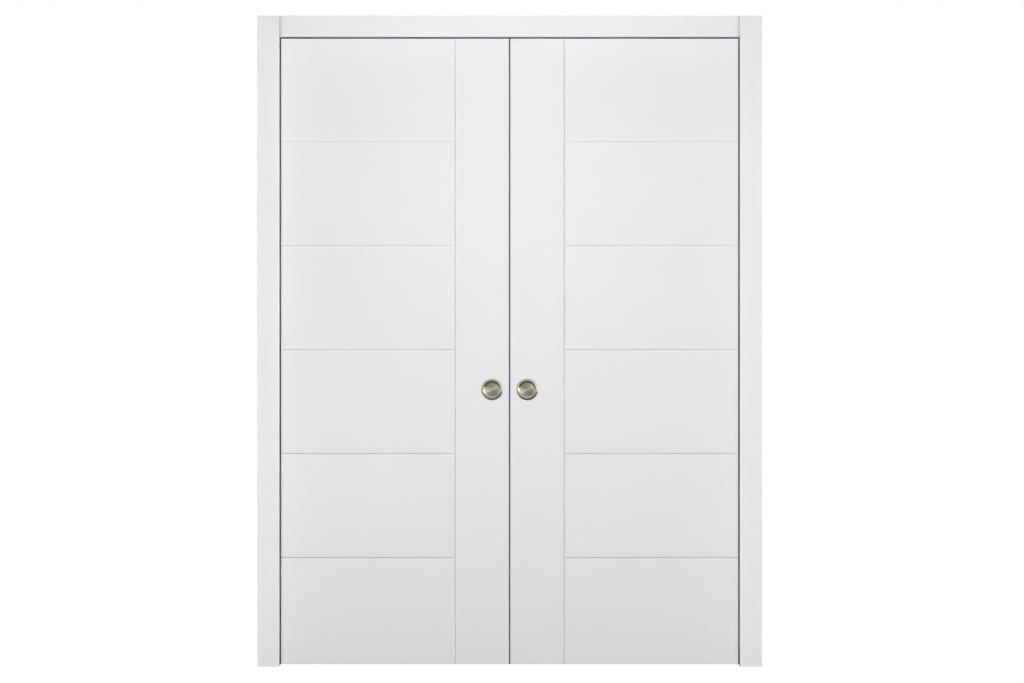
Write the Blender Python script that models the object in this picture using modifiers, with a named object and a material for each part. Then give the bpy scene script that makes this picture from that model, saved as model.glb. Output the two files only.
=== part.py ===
"""Double pocket door: two grooved leaves hung from a concealed rail, with split jambs and casings.

X runs along the wall, Y through it with the front at -Y, and Z up. The origin is on the floor, midway
between the two jambs and in the middle of the wall. The leaves are shut.
"""

import math

import bmesh
import bpy
from mathutils import Matrix, Vector

MM = 0.001
TOUCH = 0.001 * MM  # points this close are one point

# Clearances
SEAT_GAP = 0.3 * MM  # between pieces that rest on each other
RUN_GAP = 0.3 * MM  # around pieces that turn or slide on each other

# Leaves
LEAF_WIDTH = 762 * MM
LEAF_HEIGHT = 2032 * MM
LEAF_THICKNESS = 40 * MM
SKIN_THICKNESS = 6 * MM
LEAF_EDGE_EASE = 1 * MM
LEAF_EDGE_STEPS = 2
FLOOR_GAP = 6 * MM  # under the leaves
MEETING_GAP = 4 * MM  # between the shut leaves
MEETING_SEAL_DEPTH = 30 * MM

# Grooves in both faces of a leaf
GROOVE_WIDTH = 5.2 * MM
GROOVE_DEPTH = 3.6 * MM
GROOVE_SHOULDER = 1 * MM
GROOVE_SHOULDER_DEPTH = 0.4 * MM
STILE_WIDTH = 174 * MM  # from the meeting edge to the upright groove
CROSS_GROOVES = 5
GROOVE_PITCH = 336 * MM

# Doorway, jambs and casings
POCKET_TUCK = 21.5 * MM  # how far a shut leaf stays inside its pocket
HEAD_TUCK = 8 * MM  # how far a leaf reaches up past the head jamb's edge
WALL_DEPTH = 114 * MM
SLOT_CLEARANCE = 5 * MM  # from a leaf's face to a jamb
JAMB_THICKNESS = 18 * MM
HEAD_JAMB_HEIGHT = 48 * MM
HEAD_BOARD_THICKNESS = 18 * MM
BOARD_EASE = 0.8 * MM
BOARD_EASE_STEPS = 1
LEG_WIDTH = 70 * MM
HEAD_CASING_WIDTH = 68 * MM
LEG_THICKNESS = 18 * MM
HEAD_CASING_THICKNESS = 11 * MM
CASING_ROUND = 3 * MM
CASING_ROUND_STEPS = 4

# Pile seals
SEAL_SHOW = 5 * MM  # how far a seal stands out from its jamb
SEAL_WIDTH = 12 * MM
SEAL_FLOOR_GAP = 1.5 * MM

# Flush pulls
PULL_RADIUS = 35 * MM
PULL_MOUTH_RADIUS = 27 * MM
PULL_DEPTH = 11 * MM
PULL_WALL = 1.2 * MM
PULL_CREST = 2.2 * MM  # how far the rim stands out from the leaf
PULL_FLOOR_ROUND = 3 * MM
PULL_FLOOR_STEPS = 3
PULL_RIM_STEPS = 6
PULL_BACKSET = 55 * MM  # from the meeting edge to the pull's middle
PULL_HEIGHT = 893 * MM  # above the floor
PULL_SEGMENTS = 32

# Rail and hangers
RAIL_WIDTH = 34 * MM
RAIL_HEIGHT = 30 * MM
RAIL_WALL = 2.2 * MM
RAIL_SLOT = 11 * MM
RAIL_LENGTH = 2 * LEAF_WIDTH
RAIL_JOINT = 0.3 * MM
WHEEL_RADIUS = 9 * MM
WHEEL_WIDTH = 5 * MM
WHEEL_ROUND = 0.6 * MM
WHEEL_GAUGE = 22 * MM  # between the middles of the two wheels on an axle
WHEEL_SEGMENTS = 16
AXLE_RADIUS = 2 * MM
AXLE_SPACING = 44 * MM
TROLLEY_LENGTH = 70 * MM
TROLLEY_WIDTH = 14 * MM
TROLLEY_HEIGHT = 15 * MM
HANGER_INSET = 60 * MM  # from a leaf's edge to the middle of its hanger
PLATE_LENGTH = 100 * MM
PLATE_WIDTH = 22 * MM
PLATE_THICKNESS = 3 * MM
BOLT_RADIUS = 3 * MM
BOLT_HEAD_RADIUS = 5.5 * MM
BOLT_HEAD_HEIGHT = 4 * MM
BOLT_SEGMENTS = 16
BOLT_HEAD_SIDES = 6

# Stops and floor guides
STOP_LENGTH = 30 * MM
BUMPER_RADIUS = 6 * MM
BUMPER_LENGTH = 12 * MM
BUMPER_GAP = 0.4 * MM  # left between a trolley and the stop that it meets
GUIDE_BASE = 3 * MM
GUIDE_FIN_THICKNESS = 6 * MM
GUIDE_FIN_HEIGHT = 16 * MM
GUIDE_GROOVE_DEPTH = 17 * MM
GUIDE_SIDE_PLAY = 1 * MM
PULL_STOP_MARGIN = 5.5 * MM  # an open leaf's pull stays this far out of the pocket

CUTTER_OVERRUN = 5 * MM

# Worked out from the sizes above
LEAF_TOP = FLOOR_GAP + LEAF_HEIGHT
LEAF_FACE = LEAF_THICKNESS / 2
MEETING_EDGE = MEETING_GAP / 2
TRAILING_EDGE = MEETING_EDGE + LEAF_WIDTH
OPENING = TRAILING_EDGE - POCKET_TUCK
HEAD_LINE = LEAF_TOP - HEAD_TUCK
WALL_FACE = WALL_DEPTH / 2
SLOT_FACE = LEAF_FACE + SLOT_CLEARANCE
JAMB_BACK = OPENING + JAMB_THICKNESS
JAMB_TOP = HEAD_LINE + HEAD_JAMB_HEIGHT
CASING_TOP = HEAD_LINE + HEAD_CASING_WIDTH
CASING_FACE = WALL_FACE + SEAT_GAP
RAIL_TOP = JAMB_TOP
RAIL_BOTTOM = RAIL_TOP - RAIL_HEIGHT
WHEEL_CENTRE = RAIL_BOTTOM + RAIL_WALL + RUN_GAP + WHEEL_RADIUS
PULL_ACROSS = MEETING_EDGE + PULL_BACKSET
TRAVEL = OPENING - SEAL_SHOW - PULL_STOP_MARGIN - PULL_ACROSS - PULL_RADIUS

SIDES = {"left": -1, "right": 1}
FACES = {"front": -1, "back": 1}


def clear_scene():
    for obj in list(bpy.data.objects):
        bpy.data.objects.remove(obj)


def new_collection(name):
    found = bpy.data.collections.new(name)
    bpy.context.scene.collection.children.link(found)
    return found


def new_material(name, colour, roughness, metallic=0.0):
    made = bpy.data.materials.new(name)
    made.use_nodes = True
    shader = made.node_tree.nodes["Principled BSDF"]
    shader.inputs["Base Color"].default_value = (*colour, 1.0)
    shader.inputs["Roughness"].default_value = roughness
    shader.inputs["Metallic"].default_value = metallic
    return made


def finished(bm, name, paint, location=(0, 0, 0), parent=None):
    """An object of the part from a mesh under construction."""
    mesh = bpy.data.meshes.new(name)
    bm.to_mesh(mesh)
    bm.free()
    mesh.materials.append(paint)
    obj = bpy.data.objects.new(name, mesh)
    obj.location = location
    PARTS.objects.link(obj)
    ride(obj, parent)
    return obj


def ride(obj, parent):
    """Hangs an object on an empty without moving it."""
    if parent:
        obj.parent = parent
        obj.matrix_parent_inverse = Matrix.Translation(-parent.location)


def new_empty(name, location):
    empty = bpy.data.objects.new(name, None)
    empty.location = location
    PARTS.objects.link(empty)
    return empty


def block_mesh(low, high):
    """A box between two corners, as a mesh about its own middle, and that middle."""
    low = Vector(low)
    high = Vector(high)
    bm = bmesh.new()
    bmesh.ops.create_cube(bm, size=1)
    bmesh.ops.scale(bm, vec=high - low, verts=bm.verts)
    return bm, (low + high) / 2


def board(name, low, high, paint, ease=BOARD_EASE, parent=None):
    """A board between two corners with all its edges eased."""
    bm, middle = block_mesh(low, high)
    if ease:
        edges = bm.edges[:]
        bmesh.ops.bevel(
            bm, geom=edges, offset=ease, segments=BOARD_EASE_STEPS, profile=0.5, affect="EDGES"
        )
    return finished(bm, name, paint, middle, parent)


def spans(side, near, far):
    """The X limits, low first, of what lies between two distances out from the middle on one side."""
    return sorted((side * near, side * far))


def cylinder_mesh(radius, length, segments):
    bm = bmesh.new()
    bmesh.ops.create_cone(
        bm, cap_ends=True, segments=segments, radius1=radius, radius2=radius, depth=length
    )
    return bm


def outline_mesh(points, length):
    """A flat outline pushed out along Z to a length, about its middle."""
    curve = bpy.data.curves.new("outline", "CURVE")
    curve.dimensions = "2D"
    curve.fill_mode = "BOTH"
    curve.extrude = length / 2
    spline = curve.splines.new("POLY")
    spline.points.add(len(points) - 1)
    for point, (x, y) in zip(spline.points, points):
        point.co = (x, y, 0, 1)
    spline.use_cyclic_u = True
    holder = bpy.data.objects.new("outline", curve)
    mesh = bpy.data.meshes.new_from_object(holder)
    bm = bmesh.new()
    bm.from_mesh(mesh)
    bmesh.ops.remove_doubles(bm, verts=bm.verts, dist=TOUCH)
    bmesh.ops.recalc_face_normals(bm, faces=bm.faces)
    bpy.data.objects.remove(holder)
    bpy.data.meshes.remove(mesh)
    bpy.data.curves.remove(curve)
    return bm


def turned(name, profile, paint, location, tilt, segments, parent=None):
    """A turned piece from (radius, height) points, top to bottom, with its axis tilted about X."""
    mesh = bpy.data.meshes.new(name)
    points = [(radius, 0, height) for radius, height in profile]
    edges = [(i, i + 1) for i in range(len(points) - 1)]
    mesh.from_pydata(points, edges, [])
    mesh.materials.append(paint)
    obj = bpy.data.objects.new(name, mesh)
    obj.location = location
    obj.rotation_euler = (tilt, 0, 0)
    turn = obj.modifiers.new("Turn", "SCREW")
    turn.axis = "Z"
    turn.angle = 2 * math.pi
    turn.steps = segments
    turn.render_steps = segments
    turn.use_merge_vertices = True
    turn.merge_threshold = TOUCH
    PARTS.objects.link(obj)
    ride(obj, parent)
    return obj


def as_cutter(bm, name, placing):
    """A helper for Boolean modifiers, put in place by a matrix."""
    mesh = bpy.data.meshes.new(name)
    bm.to_mesh(mesh)
    bm.free()
    cutter = bpy.data.objects.new(name, mesh)
    cutter.matrix_world = placing
    cutter.hide_render = True
    cutter.display_type = "WIRE"
    CUTTERS.objects.link(cutter)
    return cutter


def block_cutter(name, low, high):
    bm, middle = block_mesh(low, high)
    return as_cutter(bm, name, Matrix.Translation(middle))


def hole_cutter(name, radius, start, end, segments):
    """A round cutter from one point to another."""
    start = Vector(start)
    end = Vector(end)
    along = end - start
    placing = Matrix.Translation((start + end) / 2) @ along.to_track_quat("Z", "Y").to_matrix().to_4x4()
    return as_cutter(cylinder_mesh(radius, along.length, segments), name, placing)


def combine(obj, helper, operation="DIFFERENCE"):
    step = obj.modifiers.new(helper.name, "BOOLEAN")
    step.operation = operation
    step.solver = "EXACT"
    step.object = helper


def axes(across, inward, along, middle):
    """A placing whose X, Y and Z lie along three given directions."""
    turn = Matrix((across, inward, along)).transposed().to_4x4()
    return Matrix.Translation(middle) @ turn


def rounded_board(width, thickness):
    """The outline of a moulding: width along X, its two front corners (at -Y) rounded, its back at Y = 0."""
    half = width / 2
    radius = CASING_ROUND
    points = [(half, 0), (-half, 0)]
    for sign, start in ((-1, math.pi), (1, 1.5 * math.pi)):
        for i in range(CASING_ROUND_STEPS + 1):
            angle = start + i / CASING_ROUND_STEPS * math.pi / 2
            x = sign * (half - radius) + radius * math.cos(angle)
            y = radius - thickness + radius * math.sin(angle)
            points.append((x, y))
    return points


def groove_outline():
    """The outline of a V groove: X across it, Y into the leaf, with eased shoulders."""
    half = GROOVE_WIDTH / 2
    flare = GROOVE_SHOULDER / GROOVE_SHOULDER_DEPTH
    mouth = half + GROOVE_SHOULDER + flare * CUTTER_OVERRUN
    return [
        (-mouth, -CUTTER_OVERRUN),
        (mouth, -CUTTER_OVERRUN),
        (half, GROOVE_SHOULDER_DEPTH),
        (0, GROOVE_DEPTH),
        (-half, GROOVE_SHOULDER_DEPTH),
    ]


def groove_cutters(label, side, face):
    """The cutters of one leaf face: the upright groove, and those that run from it to the trailing edge."""
    outward = face * LEAF_FACE
    inward = Vector((0, -face, 0))
    upright = side * (MEETING_EDGE + STILE_WIDTH)
    middle = FLOOR_GAP + LEAF_HEIGHT / 2
    up = Vector((0, 0, 1))
    bm = outline_mesh(groove_outline(), LEAF_HEIGHT + 2 * CUTTER_OVERRUN)
    yield as_cutter(bm, f"{label}_upright", axes(inward.cross(up), inward, up, (upright, outward, middle)))
    end = side * (TRAILING_EDGE + CUTTER_OVERRUN)
    start = upright + side * SEAT_GAP
    along = Vector((1, 0, 0))
    for i in range(CROSS_GROOVES):
        height = middle + (i - (CROSS_GROOVES - 1) / 2) * GROOVE_PITCH
        bm = outline_mesh(groove_outline(), abs(end - start))
        placing = axes(inward.cross(along), inward, along, ((start + end) / 2, outward, height))
        yield as_cutter(bm, f"{label}_cross_{i + 1}", placing)


def leaf_skin(side_name, face_name, carriage):
    """One grooved face panel of a leaf, with the edges of its outer face eased."""
    side = SIDES[side_name]
    face = FACES[face_name]
    low_x, high_x = spans(side, MEETING_EDGE, TRAILING_EDGE)
    low_y, high_y = sorted((face * LEAF_FACE, face * (LEAF_FACE - SKIN_THICKNESS)))
    bm, middle = block_mesh((low_x, low_y, FLOOR_GAP), (high_x, high_y, LEAF_TOP))
    outer = [e for e in bm.edges if all(v.co.y * face > 0 for v in e.verts)]
    bmesh.ops.bevel(
        bm, geom=outer, offset=LEAF_EDGE_EASE, segments=LEAF_EDGE_STEPS, profile=0.5, affect="EDGES"
    )
    skin = finished(bm, f"{side_name}_{face_name}_skin", PAINT, middle, carriage)
    for cutter in groove_cutters(f"cut_{side_name}_{face_name}", side, face):
        combine(skin, cutter)
    return skin


def pull_profile():
    """A flush pull from the middle of its floor, up the cup, over the rim and back under it."""
    floor = -PULL_DEPTH
    seat = SEAT_GAP
    lip = PULL_MOUTH_RADIUS
    wall = PULL_WALL
    draft = wall
    crest = (lip + PULL_RADIUS) / 2
    inner = [(0, floor)]
    corner = lip - draft - PULL_FLOOR_ROUND
    for i in range(PULL_FLOOR_STEPS + 1):
        angle = i / PULL_FLOOR_STEPS * math.pi / 2
        inner.append(
            (
                corner + PULL_FLOOR_ROUND * math.sin(angle),
                floor + PULL_FLOOR_ROUND * (1 - math.cos(angle)),
            )
        )
    rim_half = (PULL_RADIUS - lip) / 2
    rim_low = (PULL_CREST + seat) / 2
    rim = []
    for i in range(PULL_RIM_STEPS + 1):
        angle = math.pi * (1 - i / PULL_RIM_STEPS)
        rim.append((crest + rim_half * math.cos(angle), rim_low + (PULL_CREST - rim_low) * math.sin(angle)))
    under = [
        (PULL_RADIUS, seat),
        (lip + wall, seat),
        (lip + wall, floor + PULL_FLOOR_ROUND - wall),
        (corner + wall, floor - wall),
        (0, floor - wall),
    ]
    return inner + rim + under


def add_pull(side_name, face_name, carriage, skin, core):
    """A turned cup let into a leaf face, with the recess that it sits in."""
    side = SIDES[side_name]
    face = FACES[face_name]
    across = side * PULL_ACROSS
    name = f"{side_name}_{face_name}_pull"
    recess = PULL_MOUTH_RADIUS + PULL_WALL + SEAT_GAP
    bottom = LEAF_FACE - PULL_DEPTH - PULL_WALL - SEAT_GAP
    cutter = hole_cutter(
        f"cut_{name}",
        recess,
        (across, face * (LEAF_FACE + CUTTER_OVERRUN), PULL_HEIGHT),
        (across, face * bottom, PULL_HEIGHT),
        PULL_SEGMENTS,
    )
    combine(skin, cutter)
    combine(core, cutter)
    tilt = -face * math.pi / 2
    place = (across, face * LEAF_FACE, PULL_HEIGHT)
    turned(name, pull_profile(), NICKEL, place, tilt, PULL_SEGMENTS, carriage)


def leaf_core(side_name, carriage):
    """The middle of a leaf, with the floor guide's groove along its foot."""
    side = SIDES[side_name]
    low_x, high_x = spans(side, MEETING_EDGE, TRAILING_EDGE)
    half = LEAF_FACE - SKIN_THICKNESS - SEAT_GAP
    bm, middle = block_mesh((low_x, -half, FLOOR_GAP), (high_x, half, LEAF_TOP))
    core = finished(bm, f"{side_name}_leaf_core", CORE, middle, carriage)
    groove = GUIDE_FIN_THICKNESS / 2 + GUIDE_SIDE_PLAY
    cutter = block_cutter(
        f"cut_{side_name}_guide_groove",
        (low_x - CUTTER_OVERRUN, -groove, FLOOR_GAP - CUTTER_OVERRUN),
        (high_x + CUTTER_OVERRUN, groove, FLOOR_GAP + GUIDE_GROOVE_DEPTH),
    )
    combine(core, cutter)
    return core


def add_meeting_seal(side_name, carriage):
    """A flat strip along the meeting edge, which closes half of the gap between the leaves."""
    low_x, high_x = spans(SIDES[side_name], SEAT_GAP / 2, MEETING_EDGE - SEAT_GAP)
    half = MEETING_SEAL_DEPTH / 2
    low = (low_x, -half, FLOOR_GAP)
    board(f"{side_name}_meeting_seal", low, (high_x, half, LEAF_TOP), RUBBER, 0, carriage)


def add_wheelset(name, across, carriage):
    """An axle with its two wheels, turned in one piece about the axle."""
    half = WHEEL_GAUGE / 2
    inner = half - WHEEL_WIDTH / 2
    outer = half + WHEEL_WIDTH / 2
    rim = WHEEL_RADIUS
    wheel = [
        (rim - WHEEL_ROUND, outer),
        (rim, outer - WHEEL_ROUND),
        (rim, inner + WHEEL_ROUND),
        (rim - WHEEL_ROUND, inner),
        (AXLE_RADIUS, inner),
    ]
    other = [(radius, -height) for radius, height in reversed(wheel)]
    profile = [(0, outer), *wheel, *other, (0, -outer)]
    turned(name, profile, NYLON, (across, 0, WHEEL_CENTRE), math.pi / 2, WHEEL_SEGMENTS, carriage)


def add_hanger(side_name, label, across, carriage, core):
    """A plate let into the leaf's top edge, the bolt through it, and the trolley that the bolt hangs from."""
    name = f"{side_name}_{label}"
    half = PLATE_LENGTH / 2
    plate_low = LEAF_TOP - PLATE_THICKNESS
    plate = board(
        f"{name}_plate",
        (across - half, -PLATE_WIDTH / 2, plate_low),
        (across + half, PLATE_WIDTH / 2, LEAF_TOP),
        STEEL,
        0,
        carriage,
    )
    mortise = PLATE_WIDTH / 2 + SEAT_GAP
    cutter = block_cutter(
        f"cut_{name}_mortise",
        (across - half - SEAT_GAP, -mortise, plate_low - SEAT_GAP),
        (across + half + SEAT_GAP, mortise, LEAF_TOP + CUTTER_OVERRUN),
    )
    combine(core, cutter)
    head_top = plate_low - SEAT_GAP
    head_low = head_top - BOLT_HEAD_HEIGHT
    pocket = hole_cutter(
        f"cut_{name}_bolt_pocket",
        BOLT_HEAD_RADIUS + SEAT_GAP,
        (across, 0, head_low - SEAT_GAP),
        (across, 0, LEAF_TOP),
        BOLT_SEGMENTS,
    )
    combine(core, pocket)

    trolley_low = WHEEL_CENTRE - TROLLEY_HEIGHT / 2
    trolley_high = WHEEL_CENTRE + TROLLEY_HEIGHT / 2
    bolt_hole = hole_cutter(
        f"cut_{name}_bolt_hole",
        BOLT_RADIUS + SEAT_GAP,
        (across, 0, head_low),
        (across, 0, trolley_high + CUTTER_OVERRUN),
        BOLT_SEGMENTS,
    )
    combine(plate, bolt_hole)
    shank = cylinder_mesh(BOLT_RADIUS, trolley_high - head_low, BOLT_SEGMENTS)
    bolt = finished(shank, f"{name}_bolt", STEEL, (across, 0, (trolley_high + head_low) / 2), carriage)
    head = as_cutter(
        cylinder_mesh(BOLT_HEAD_RADIUS, BOLT_HEAD_HEIGHT, BOLT_HEAD_SIDES),
        f"join_{name}_bolt_head",
        Matrix.Translation((across, 0, (head_top + head_low) / 2)),
    )
    combine(bolt, head, "UNION")

    trolley = board(
        f"{name}_trolley",
        (across - TROLLEY_LENGTH / 2, -TROLLEY_WIDTH / 2, trolley_low),
        (across + TROLLEY_LENGTH / 2, TROLLEY_WIDTH / 2, trolley_high),
        ZINC,
        BOARD_EASE,
        carriage,
    )
    combine(trolley, bolt_hole)
    for end, step in (("near", -1), ("far", 1)):
        axle = across + SIDES[side_name] * step * AXLE_SPACING / 2
        bore = hole_cutter(
            f"cut_{name}_{end}_axle",
            AXLE_RADIUS + RUN_GAP,
            (axle, -TROLLEY_WIDTH, WHEEL_CENTRE),
            (axle, TROLLEY_WIDTH, WHEEL_CENTRE),
            WHEEL_SEGMENTS,
        )
        combine(trolley, bore)
        add_wheelset(f"{name}_{end}_wheels", axle, carriage)


def add_leaf(side_name):
    """One leaf with all that slides with it."""
    side = SIDES[side_name]
    carriage = new_empty(f"{side_name}_leaf", (side * MEETING_EDGE, 0, WHEEL_CENTRE))
    core = leaf_core(side_name, carriage)
    for face_name in FACES:
        skin = leaf_skin(side_name, face_name, carriage)
        add_pull(side_name, face_name, carriage, skin, core)
    add_meeting_seal(side_name, carriage)
    add_hanger(side_name, "inner_hanger", side * (MEETING_EDGE + HANGER_INSET), carriage, core)
    add_hanger(side_name, "outer_hanger", side * (TRAILING_EDGE - HANGER_INSET), carriage, core)


def add_jambs():
    """The split jambs beside and over the doorway, and the board across their tops."""
    for face_name, face in FACES.items():
        low_y, high_y = sorted((face * SLOT_FACE, face * WALL_FACE))
        for side_name, side in SIDES.items():
            low_x, high_x = spans(side, OPENING, JAMB_BACK)
            board(f"{side_name}_{face_name}_jamb", (low_x, low_y, 0), (high_x, high_y, JAMB_TOP), PAINT)
        reach = OPENING - SEAT_GAP
        low = (-reach, low_y, HEAD_LINE)
        board(f"{face_name}_head_jamb", low, (reach, high_y, JAMB_TOP), PAINT)
    bottom = JAMB_TOP + SEAT_GAP
    low = (-JAMB_BACK, -WALL_FACE, bottom)
    board("head_board", low, (JAMB_BACK, WALL_FACE, bottom + HEAD_BOARD_THICKNESS), TIMBER)


def add_casings():
    """The mouldings on both wall faces: legs to the floor, with the head between them."""
    for face_name, face in FACES.items():
        outward = Vector((0, face, 0))
        up = Vector((0, 0, 1))
        for side_name, side in SIDES.items():
            bm = outline_mesh(rounded_board(LEG_WIDTH, LEG_THICKNESS), CASING_TOP)
            middle = (side * (OPENING + LEG_WIDTH / 2), face * CASING_FACE, CASING_TOP / 2)
            bm.transform(axes(up.cross(outward), -outward, up, (0, 0, 0)))
            finished(bm, f"{face_name}_casing_{side_name}", PAINT, middle)
        reach = OPENING - SEAT_GAP
        along = Vector((1, 0, 0))
        bm = outline_mesh(rounded_board(HEAD_CASING_WIDTH, HEAD_CASING_THICKNESS), 2 * reach)
        bm.transform(axes(along.cross(outward), -outward, along, (0, 0, 0)))
        middle = (0, face * CASING_FACE, HEAD_LINE + HEAD_CASING_WIDTH / 2)
        finished(bm, f"{face_name}_casing_head", PAINT, middle)


def add_seals():
    """Pile strips round the doorway, on the jambs' edges, which close the gap to the leaves."""
    near = LEAF_FACE + SEAT_GAP
    far = near + SEAL_WIDTH
    seat = OPENING - SEAT_GAP
    edge = OPENING - SEAL_SHOW
    for face_name, face in FACES.items():
        low_y, high_y = sorted((face * near, face * far))
        top = HEAD_LINE - SEAT_GAP
        for side_name, side in SIDES.items():
            low_x, high_x = spans(side, edge, seat)
            low = (low_x, low_y, SEAL_FLOOR_GAP)
            board(f"{side_name}_{face_name}_seal", low, (high_x, high_y, top), PILE, 0)
        reach = edge - SEAT_GAP
        low = (-reach, low_y, HEAD_LINE - SEAL_SHOW)
        board(f"{face_name}_head_seal", low, (reach, high_y, top), PILE, 0)


def rail_outline():
    """The section of the rail: a box with a slot along its foot, about the middle of its top."""
    half = RAIL_WIDTH / 2
    wall = RAIL_WALL
    slot = RAIL_SLOT / 2
    right = [
        (half, 0),
        (half, -RAIL_HEIGHT),
        (slot, -RAIL_HEIGHT),
        (slot, wall - RAIL_HEIGHT),
        (half - wall, wall - RAIL_HEIGHT),
        (half - wall, -wall),
    ]
    return right + [(-x, y) for x, y in reversed(right)]


def add_rails():
    """Two rails end to end along the head, and on into both pockets."""
    for side_name, side in SIDES.items():
        bm = outline_mesh(rail_outline(), RAIL_LENGTH)
        along = Vector((1, 0, 0))
        up = Vector((0, 0, 1))
        bm.transform(axes(up.cross(along), up, along, (0, 0, 0)))
        middle = side * (RAIL_JOINT / 2 + RAIL_LENGTH / 2)
        finished(bm, f"{side_name}_rail", ALUMINIUM, (middle, 0, RAIL_TOP))


def stop_block(name, low_x, high_x, paint):
    """A block that fills the rail, clamped there."""
    half = RAIL_WIDTH / 2 - RAIL_WALL - SEAT_GAP
    low = RAIL_BOTTOM + RAIL_WALL + SEAT_GAP
    high = RAIL_TOP - RAIL_WALL - SEAT_GAP
    return board(name, (low_x, -half, low), (high_x, half, high), paint)


def add_stops():
    """The stop between the shut leaves, and the one that each leaf meets when it is open."""
    shut = MEETING_EDGE + HANGER_INSET - TROLLEY_LENGTH / 2 - BUMPER_GAP
    stop_block("middle_stop", -shut, shut, RUBBER)
    contact = TRAILING_EDGE - HANGER_INSET + TROLLEY_LENGTH / 2 + TRAVEL + BUMPER_GAP
    for side_name, side in SIDES.items():
        seat = contact + BUMPER_LENGTH + SEAT_GAP
        low_x, high_x = spans(side, seat, seat + STOP_LENGTH)
        stop_block(f"{side_name}_open_stop", low_x, high_x, ZINC)
        bm = cylinder_mesh(BUMPER_RADIUS, BUMPER_LENGTH, WHEEL_SEGMENTS)
        bmesh.ops.rotate(bm, verts=bm.verts, matrix=Matrix.Rotation(math.pi / 2, 3, "Y"))
        middle = (side * (contact + BUMPER_LENGTH / 2), 0, WHEEL_CENTRE)
        finished(bm, f"{side_name}_bumper", RUBBER, middle)


def add_guides():
    """A fin on a base between each pair of jambs, which runs in the groove along the leaf's foot."""
    for side_name, side in SIDES.items():
        low_x, high_x = spans(side, OPENING, JAMB_BACK)
        half = SLOT_FACE - SEAT_GAP
        guide = board(f"{side_name}_floor_guide", (low_x, -half, 0), (high_x, half, GUIDE_BASE), NYLON, 0)
        fin = block_cutter(
            f"join_{side_name}_guide_fin",
            (low_x, -GUIDE_FIN_THICKNESS / 2, GUIDE_BASE / 2),
            (high_x, GUIDE_FIN_THICKNESS / 2, GUIDE_BASE + GUIDE_FIN_HEIGHT),
        )
        combine(guide, fin, "UNION")


clear_scene()
PARTS = new_collection("double_pocket_door")
CUTTERS = new_collection("cutters")
PAINT = new_material("white satin paint", (0.80, 0.80, 0.82), 0.45)
CORE = new_material("painted leaf core", (0.78, 0.78, 0.80), 0.5)
TIMBER = new_material("planed softwood", (0.62, 0.46, 0.29), 0.65)
NICKEL = new_material("satin nickel", (0.50, 0.48, 0.42), 0.32, 1.0)
ALUMINIUM = new_material("anodised aluminium", (0.62, 0.63, 0.65), 0.38, 1.0)
STEEL = new_material("zinc plated steel", (0.55, 0.56, 0.58), 0.35, 1.0)
ZINC = new_material("die cast zinc", (0.42, 0.43, 0.45), 0.45, 1.0)
NYLON = new_material("white nylon", (0.72, 0.72, 0.70), 0.4)
RUBBER = new_material("black rubber", (0.02, 0.02, 0.022), 0.7)
PILE = new_material("dark pile", (0.03, 0.03, 0.032), 0.95)

add_jambs()
add_casings()
add_seals()
add_rails()
add_stops()
add_guides()
for leaf_side in SIDES:
    add_leaf(leaf_side)
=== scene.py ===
"""Looks of the double pocket door: painted leaves and casings, turned pulls, seals, rails and hangers."""

import math

import bmesh
import bpy
from mathutils import Matrix, Vector


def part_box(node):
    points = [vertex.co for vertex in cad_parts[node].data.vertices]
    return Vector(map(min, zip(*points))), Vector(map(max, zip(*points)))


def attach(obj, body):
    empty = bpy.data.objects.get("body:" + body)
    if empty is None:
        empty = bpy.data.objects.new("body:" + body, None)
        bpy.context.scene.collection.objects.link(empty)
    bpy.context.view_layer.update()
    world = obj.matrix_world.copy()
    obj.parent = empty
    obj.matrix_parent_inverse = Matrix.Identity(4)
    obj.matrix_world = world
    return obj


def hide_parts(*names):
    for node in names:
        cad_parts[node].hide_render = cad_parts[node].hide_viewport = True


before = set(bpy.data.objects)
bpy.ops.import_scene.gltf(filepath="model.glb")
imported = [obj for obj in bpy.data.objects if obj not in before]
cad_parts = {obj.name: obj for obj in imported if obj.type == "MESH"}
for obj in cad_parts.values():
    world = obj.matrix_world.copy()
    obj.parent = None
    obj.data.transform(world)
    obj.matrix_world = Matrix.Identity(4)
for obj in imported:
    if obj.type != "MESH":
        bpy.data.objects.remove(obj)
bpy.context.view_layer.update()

MM = 0.001
SIDES = {"left": -1, "right": 1}
FACES = {"front": -1, "back": 1}
HANGERS = ("inner_hanger", "outer_hanger")
WHEEL_ENDS = ("near_wheels", "far_wheels")
X, Y, Z = 0, 1, 2
TOUCH = 0.001 * MM  # points this close are one point
SHARP_ANGLE = 40  # degrees past which an edge stays a corner
EASE_STEPS = 3  # facets of an eased edge, where no other number is given
HOLE_COLLAR = 0.1  # share of a patch's half width that is inset before its hole is rounded
TINT_RANGE = (0.3, 0.7)  # the part of a pattern in which a finish turns from its dark tone to its light one

# Leaves
GROOVE_DEPTH = 3.6 * MM
GROOVE_HALF_WIDTH = 2.6 * MM
GROOVE_CURVE = 2.0  # one is a plain V, and more turns the flanks in towards the middle
GROOVE_STEPS = 12
GROOVE_LIP = 1.3 * MM  # half the width of the painted highlight beside a groove
UPRIGHT_SHADE = 0.2  # painted shade: how much darker the paint is at the bottom of a groove
UPRIGHT_LIP_LIGHT = 0.11  # painted highlight: how much lighter it is on the lip
CROSS_SHADE = (-0.13, 0.24)  # painted shade in the top groove and in the lowest, painted light where it is below nought
# painted highlight on the lip below a cross groove, in the top groove and in the lowest
CROSS_LIP_LIGHT = (0.02, 0.14)
STILE_WIDTH = 174 * MM
CROSS_GROOVES = 5
CROSS_PITCH = 336 * MM
EDGE_EASE = 0.6 * MM
EDGE_STEPS = 5
EDGE_SHADE = 0.45  # painted shade: how much darker the paint is at the very edge of a leaf
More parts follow.
